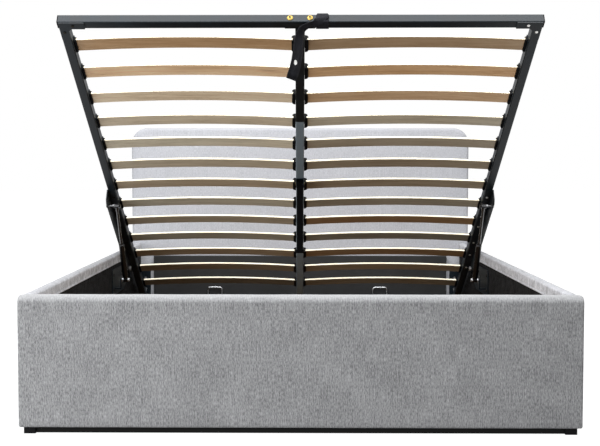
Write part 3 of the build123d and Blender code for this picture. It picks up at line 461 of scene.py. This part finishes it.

# Lightness and warmth of the left and the right slat of each row; the lightness is painted light and
# shade
row_painted_light_and_warmth = (
    ((1.00, 0.90), (0.90, 0.75)),
    ((1.84, 0.65), (1.52, 0.90)),
    ((1.92, 0.30), (1.45, 0.75)),
    ((1.60, 0.20), (1.50, 0.10)),
    ((1.70, 0.05), (0.96, 0.20)),
    ((1.30, 0.15), (0.78, 0.30)),
    ((1.08, 0.30), (0.82, 0.30)),
    ((1.25, 0.00), (0.87, 0.10)),
    ((0.97, 0.20), (0.56, 1.00)),
    ((0.80, 0.00), (0.54, 0.00)),
    ((0.63, 0.50), (0.47, 1.00)),
    ((0.48, 0.40), (0.56, 0.50)),
    ((0.29, 0.20), (0.43, 0.30)),
)
for name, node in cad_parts.items():
    for slot in node.material_slots:
        finish = slot.material.name.split(".")[0]
        if name.startswith("slat_row_"):
            row = int(name[-2:])
            slot.material = beech(row, *row_painted_light_and_warmth[row - 1])
        elif name in pieces_own:
            slot.material = pieces_own[name]
        elif name.startswith("lid_bracket_") and finish == "yellow_zinc":
            slot.material = finishes["bright_zinc"]
        elif finish in finishes:
            slot.material = finishes[finish]
        else:
            raise ValueError(f"{name} has an unknown finish {finish}")


# Upholstery
def puckers(seed, along, round_it, size):
    """Small folds of the cloth, as a height from -size to size."""
    spot = Vector((along * 9 + round_it * 6, round_it * 26, seed))
    return size * (noise.noise(spot) * 0.7 + noise.noise(spot * 2.3) * 0.3)


def join(made, near, far):
    """Faces between two rings of as many points."""
    count = len(near)
    for n in range(count):
        m = (n + 1) % count
        made.faces.new((near[n], near[m], far[m], far[n]))


def closed_form(rows):
    """A form from rings of points, closed at both ends."""
    made = bmesh.new()
    rings = [[made.verts.new(point) for point in row] for row in rows]
    for near, far in zip(rings, rings[1:]):
        join(made, near, far)
    made.faces.new(rings[0])
    made.faces.new(rings[-1])
    return made


def new_piece(name, made, finish, lie=None):
    """The form as an object; lie is each point's place on the flat cloth, in metres."""
    bmesh.ops.recalc_face_normals(made, faces=made.faces)
    mesh = bpy.data.meshes.new(name)
    made.to_mesh(mesh)
    made.free()
    if lie:
        cloth = mesh.attributes.new("cloth_lie", "FLOAT_VECTOR", "POINT")
        cloth.data.foreach_set("vector", [part for point in lie for part in point])
        mesh.polygons.foreach_set("use_smooth", [True] * len(mesh.polygons))
    mesh.materials.append(finish)
    piece = bpy.data.objects.new(name, mesh)
    bpy.context.scene.collection.objects.link(piece)
    return piece


def clamp(share):
    return max(0.0, min(1.0, share))


def arc(centre_out, centre_up, radius, start, end, steps):
    """Points of a quarter round, angles in degrees from outward towards up."""
    points = []
    for n in range(steps + 1):
        angle = math.radians(start + (end - start) * n / steps)
        points.append((centre_out + radius * math.cos(angle), centre_up + radius * math.sin(angle)))
    return points


def run(start, end, step):
    """Points along a straight side, without its two ends."""
    length = math.dist(start, end)
    count = max(2, round(length / step))
    return [
        (start[0] + (end[0] - start[0]) * n / count, start[1] + (end[1] - start[1]) * n / count)
        for n in range(1, count)
    ]


def board_profile(thick, low, high, flap):
    """Section of an upholstered board: out from its inner face, and up. Starts at the flap's foot."""
    face, board_side, hem_radius = 0.0003, 0.0026, 0.006
    bead = ((0, 0), (-0.0015, 0.0012), (-0.0021, 0.003), (-0.0015, 0.0048), (0, 0.0062))
    points = [(face + out, flap + up) for out, up in bead]
    inner = arc(0.0092, high - 0.0095, 0.009, 180, 90, 6)
    roll = arc(thick - 0.023, high - 0.021, 0.022, 90, 0, 12)
    hem = arc(thick - hem_radius, low + hem_radius, hem_radius, 0, -90, 5)
    points += [*run(points[-1], inner[0], 0.004), *inner]
    points += [((inner[-1][0] + roll[0][0]) / 2, high), *roll, *run(roll[-1], hem[0], 0.012), *hem]
    back_foot = (board_side, low + 0.001)
    back_head = (board_side, flap - 0.002)
    points += [*run(hem[-1], back_foot, 0.01), back_foot, *run(back_foot, back_head, 0.05), back_head]
    return points


def upholstered_board(name, node, profile, start, end, put, seed, soft_ends, finish):
    """Cover of one board of the box: the profile run from start to end, lightly puckered.

    put turns a place along the board, outward and up into a point. Soft ends are rounded, and their
    top corners droop a little.
    """
    ring = len(profile)
    normals = []
    for n in range(ring):
        before, after = profile[n - 1], profile[(n + 1) % ring]
        out, up = after[1] - before[1], before[0] - after[0]
        size = math.hypot(out, up) or 1
        normals.append((-out / size, -up / size))
    trails = [0.0]
    for first, second in zip(profile, profile[1:]):
        trails.append(trails[-1] + math.dist(first, second))
    top = max(up for out, up in profile)
    thick = max(out for out, up in profile)

    spacing, soft = 0.008, 0.006
    count = round((end - start) / spacing)
    stations = [(start + (end - start) * n / count, 0.0) for n in range(count + 1)]
    if soft_ends:
        for edge, way in ((start, 1), (end, -1)):
            stations = [(along, inset) for along, inset in stations if abs(along - edge) > soft]
            for n in range(6):
                angle = math.radians(15 * n)
                inset = soft * (1 - math.sin(angle))
                stations.append((edge + way * soft * (1 - math.cos(angle)), inset))
            stations.append((edge + way * soft, 0.0))
        stations.sort()

    # Where the section leaves the board, and how high its turned edge, roll and droop start
    board_side, edge_foot, roll_foot, droop_foot = 0.0027, top - 0.06, top - 0.05, top - 0.03
    pad_foot, pad_height, fullness, slack = 0.018, 0.36, 0.0008, 0.0006
    fold, inner_fold = 0.0005, 0.0003
    corner_droop, corner_reach = 0.003, 0.028
    rows, lie = [], []
    for along, inset in stations:
        near_end = min(along - start, end - along) if soft_ends else 1
        droop = corner_droop * max(0, 1 - near_end / corner_reach) ** 2
        row = []
        for (out, up), (n_out, n_up), trail in zip(profile, normals, trails):
            lie.append((along, trail, seed))
            if out > board_side or up > edge_foot:
                face = 1 - clamp((up - roll_foot) / 0.03)
                inner = out < thick - 0.012 and up > roll_foot
                height = puckers(seed, along, trail, inner_fold * inner + fold)
                full = math.sin(math.pi * clamp((up - pad_foot) / pad_height))
                height -= fullness * face * (1 - full) + slack + inset
                up -= droop * clamp((up - droop_foot) / 0.015)
            else:
                height = -inset * 0.2
            row.append(put(along, out + n_out * height, up + n_up * height))
        rows.append(row)
    cover = new_piece(name, closed_form(rows), finish, lie)
    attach(cover, "base")
    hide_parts(node)


box_low, box_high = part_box("footboard_cover")
inner_face = box_high.y
board_thick, flap_foot = 0.038, 0.357
profile = board_profile(board_thick, box_low.z, box_high.z, flap_foot)
upholstered_board(
    "footboard_upholstery", "footboard_cover", profile, box_low.x, box_high.x,
    lambda along, out, up: (along, inner_face - out, up), 3.0, True, chenille,
)
for side, way in (("left", -1), ("right", 1)):
    low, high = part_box(f"side_board_cover_{side}")
    inner_side = way * 0.762
    upholstered_board(
        f"side_upholstery_{side}", f"side_board_cover_{side}", profile, low.y, high.y,
        lambda along, out, up, way=way, inner_side=inner_side: (inner_side + way * out, along, up),
        5.0 + way, False, side_chenille_painted_light,
    )


def headboard_form():
    """Padded headboard: a slightly crowned front face whose edge rolls back to the rear."""
    low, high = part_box("headboard_cover")
    roll, corner, rear = 0.014, 0.075, 0.006
    swell, swell_reach, fold = 0.006, 0.12, 0.0007
    half = high.x - roll
    top = high.z - roll
    foot = low.z + roll
    radius = corner - roll
    shoulder = top - radius
    straight, turn, columns = 70, 14, 160
    levels = [foot + (shoulder - foot) * n / straight for n in range(straight)]
    levels += [shoulder + radius * math.sin(math.radians(90 * n / turn)) for n in range(turn + 1)]
    made = bmesh.new()

    def crown(x, z):
        """Place of the front face: it swells from its edges inwards."""
        inwards = min(high.x - abs(x), high.z - z, swell_reach) / swell_reach
        swollen = swell * (1 - (1 - max(0, inwards)) ** 2)
        return low.y + 0.0065 - swollen + puckers(8.0, x * 0.6, z * 0.3, fold)

    def half_at(z):
        if z <= shoulder:
            return half
        return half - radius + math.sqrt(max(0, radius ** 2 - (z - shoulder) ** 2))

    grid = []
    for z in levels:
        wide = half_at(z)
        row = []
        for n in range(columns + 1):
            x = wide * (2 * n / columns - 1)
            row.append(made.verts.new((x, crown(x, z), z)))
        grid.append(row)
    for under, over in zip(grid, grid[1:]):
        for n in range(columns):
            made.faces.new((under[n], under[n + 1], over[n + 1], over[n]))

    # Its rim, from ring to ring back to the rear edge and then in behind the back cloth
    rim = grid[0][:]
    rim += [row[-1] for row in grid[1:]]
    rim += grid[-1][-2::-1]
    rim += [row[0] for row in grid[-2:0:-1]]
    ways = []
    for n in range(len(rim)):
        before, after = rim[n - 1].co, rim[(n + 1) % len(rim)].co
        ways.append(Vector((after.z - before.z, 0, before.x - after.x)).normalized())
    places = [vert.co.copy() for vert in rim]
    depth = high.y - low.y - 0.0003
    section = arc(0, roll, roll, -90, 0, 6)[1:]
    section += [(roll, roll + (depth - roll - rear) * n / 5) for n in range(1, 6)]
    section += arc(roll - rear, depth - rear, rear, 0, 90, 3)[1:]
    section += [(roll - 0.012, depth), (roll - 0.0125, depth - 0.003)]
    last = rim
    for spread, back in section:
        fade = 1 - min(1, back / 0.03)
        ring = []
        for spot, way in zip(places, ways):
            y = low.y + back + (spot.y - low.y) * fade
            ring.append(made.verts.new((spot.x + way.x * spread, y, spot.z + way.z * spread)))
        join(made, last, ring)
        last = ring
    made.faces.new(last)
    lie = [(vert.co.x, vert.co.z + (vert.co.y - low.y), 8) for vert in made.verts]
    piece = new_piece("headboard_upholstery", made, headboard_chenille_painted_light, lie)
    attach(piece, "base")
    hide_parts("headboard_cover")


headboard_form()


# Pull strap and bolt heads of the foot rail
def on_lid(x, foot, over):
    """A point of the open lid: across, from the hinge to the foot, and over the lid's under side."""
    return hinge_point + Vector((x, 0, 0)) - lid_along * foot + lid_up * over


def pull_strap():
    """Webbing once round the foot rail, folded to its edge, then hanging in two lengthwise folds."""
    band_middle, band_wide, band_narrow, narrow_from = 0.0695, 1.0, 0.8, 0.048
    band = (
        (1.6046, 0.0465), (1.6046, 0.0225), (1.6036, 0.0193), (1.6005, 0.0183), (1.5755, 0.0183),
        (1.5724, 0.0193), (1.5714, 0.0225), (1.5714, 0.0475), (1.5724, 0.0508), (1.5755, 0.0518),
        (1.5990, 0.0522), (1.6040, 0.0518), (1.6076, 0.0488), (1.6088, 0.0420), (1.6090, 0.0350),
    )
    stations = []
    for foot, over in band:
        wide = band_wide if over < narrow_from else band_narrow
        stations.append((on_lid(band_middle, foot, over), Vector((1, 0, 0)), 0.0, wide))

    # Each place on the lid (across, foot, over), the way across the webbing, its share of the width
    turn = (
        (0.0665, 1.6096, 0.0290, (1.0, -0.1, 0.0), 0.96),
        (0.0560, 1.6060, 0.0180, (0.7, -0.62, -0.3), 0.8),
        (0.0440, 1.6000, 0.0148, (0.3, -0.95, -0.05), 0.66),
        (0.0310, 1.5990, 0.0132, (0.05, -1.0, 0.0), 0.64),
        (0.0180, 1.5985, 0.0042, (0.12, -1.0, -0.02), 0.7),
    )
    for x, foot, over, way, wide in turn:
        side = Vector((way[0], 0, 0)) - lid_along * way[1] + lid_up * way[2]
        stations.append((on_lid(x, foot, over), side, 0.0, wide))

    # Each place of the hanging end, the way across the webbing, and how deeply it is folded
    hang = (
        ((0.0080, -0.752, 1.184), (0.40, 0.88, -0.25), 0.3),
        ((0.0010, -0.752, 1.170), (0.55, 0.83, -0.10), 0.7),
        ((-0.0015, -0.753, 1.153), (0.66, 0.75, 0.0), 1.0),
        ((-0.0035, -0.754, 1.134), (0.76, 0.65, 0.0), 1.0),
        ((-0.0060, -0.755, 1.111), (0.80, 0.60, 0.0), 1.0),
        ((-0.0095, -0.755, 1.088), (0.80, 0.60, -0.03), 0.9),
        ((-0.0150, -0.755, 1.064), (0.80, 0.57, -0.12), 0.8),
        ((-0.0205, -0.755, 1.047), (0.80, 0.57, -0.2), 0.8),
        ((-0.0262, -0.755, 1.0276), (0.78, 0.57, -0.26), 0.6),
    )
    stations += [(Vector(place), Vector(way), fold, 1.0) for place, way, fold in hang]

    half, half_thick, strips, fold_depth = 0.0195, 0.0011, 12, 0.0032
    middles = [station[0] for station in stations]
    length = sum((after - before).length for before, after in zip(middles, middles[1:]))
    rows, lie, trail = [], [], 0.0
    for n, (place, way, fold, wide) in enumerate(stations):
        way = way.normalized()
        ahead = middles[min(n + 1, len(middles) - 1)] - middles[max(n - 1, 0)]
        face = way.cross(ahead).normalized()
        trail += (place - middles[n - 1]).length if n else 0
        near, far, flat = [], [], []
        for m in range(strips + 1):
            u = m / strips
            sideways = half * (2 * u - 1)
            raised = fold * fold_depth * math.sin(math.tau * u + 0.5)
            middle = place + way * (sideways * wide) + face * raised
            near.append(middle + face * half_thick)
            far.append(middle - face * half_thick)
            flat.append((sideways, trail, 0))
        rows.append(near + far[::-1])
        lie += flat + flat[::-1]
    piece = new_piece("pull_strap_webbing", closed_form(rows), finishes["black_webbing"], lie)
    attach(piece, "lid")
    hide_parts("pull_strap")


pull_strap()


def turned(name, centre, axis, profile, finish, body):
    """A piece turned about an axis from its centre: profile is (radius, distance along the axis)."""
    side = axis.orthogonal().normalized()
    other = axis.cross(side)
    facets = 36
    rows = []
    for radius, depth in profile:
        row = []
        for n in range(facets):
            angle = math.tau * n / facets
            out = side * math.cos(angle) + other * math.sin(angle)
            row.append(centre + axis * depth + out * radius)
        rows.append(row)
    piece = new_piece(name, closed_form(rows), finish)
    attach(piece, body)


flange = (
    (0.0093, 0.0001), (0.0093, 0.0012), (0.0088, 0.0019), (0.0072, 0.0032), (0.0052, 0.0044),
    (0.0044, 0.0047), (0.0041, 0.0044), (0.0038, 0.0008), (0.0010, 0.0007),
)
for side, way in (("left", -1), ("right", 1)):
    turned(
        f"spine_bolt_head_{side}", on_lid(way * 0.031, 1.603, 0.0355), -lid_along, flange,
        finishes["yellow_zinc"], "lid",
    )


# Floor, daylight and lamps
floor_mesh = bpy.data.meshes.new("studio_floor")
reach = 30
floor_corners = [(-reach, -reach, 0), (reach, -reach, 0), (reach, reach, 0), (-reach, reach, 0)]
floor_mesh.from_pydata(floor_corners, [], [(0, 1, 2, 3)])
studio_floor = bpy.data.objects.new("studio_floor", floor_mesh)
bpy.context.scene.collection.objects.link(studio_floor)
studio_floor.data.materials.append(floor_white())

world = bpy.data.worlds.new("studio_daylight")
world.use_nodes = True
bpy.context.scene.world = world
sky = Finish("studio_daylight", world.node_tree)
daylight = 0.26
strength = sky.seen() * (1 - daylight) + daylight
background = sky.node("ShaderNodeBackground", None, {"Color": (1, 1, 1, 1), "Strength": strength})
sky.node("ShaderNodeOutputWorld", None, {"Surface": background})


def softbox(name, place, target, size, power):
    """A large rectangular lamp facing a point of the bed."""
    lamp = bpy.data.lights.new(name, "AREA")
    lamp.shape = "RECTANGLE"
    lamp.size, lamp.size_y = size
    lamp.energy = power
    lamp.color = (0.985, 0.992, 1)
    body = bpy.data.objects.new(name, lamp)
    body.location = place
    body.rotation_euler = (Vector(target) - Vector(place)).to_track_quat("-Z", "Y").to_euler()
    bpy.context.scene.collection.objects.link(body)


softbox("lamp_over", (-0.1, -1.05, 3.0), (0, 0.4, 0), (3.6, 2.0), 156)
softbox("lamp_front", (-3.0, -2.4, 1.2), (-0.5, -0.9, 0.6), (1.2, 1.2), 33)
softbox("lamp_low", (-2.4, -3.8, 0.6), (-0.2, -0.3, 0.95), (2.4, 0.8), 44)
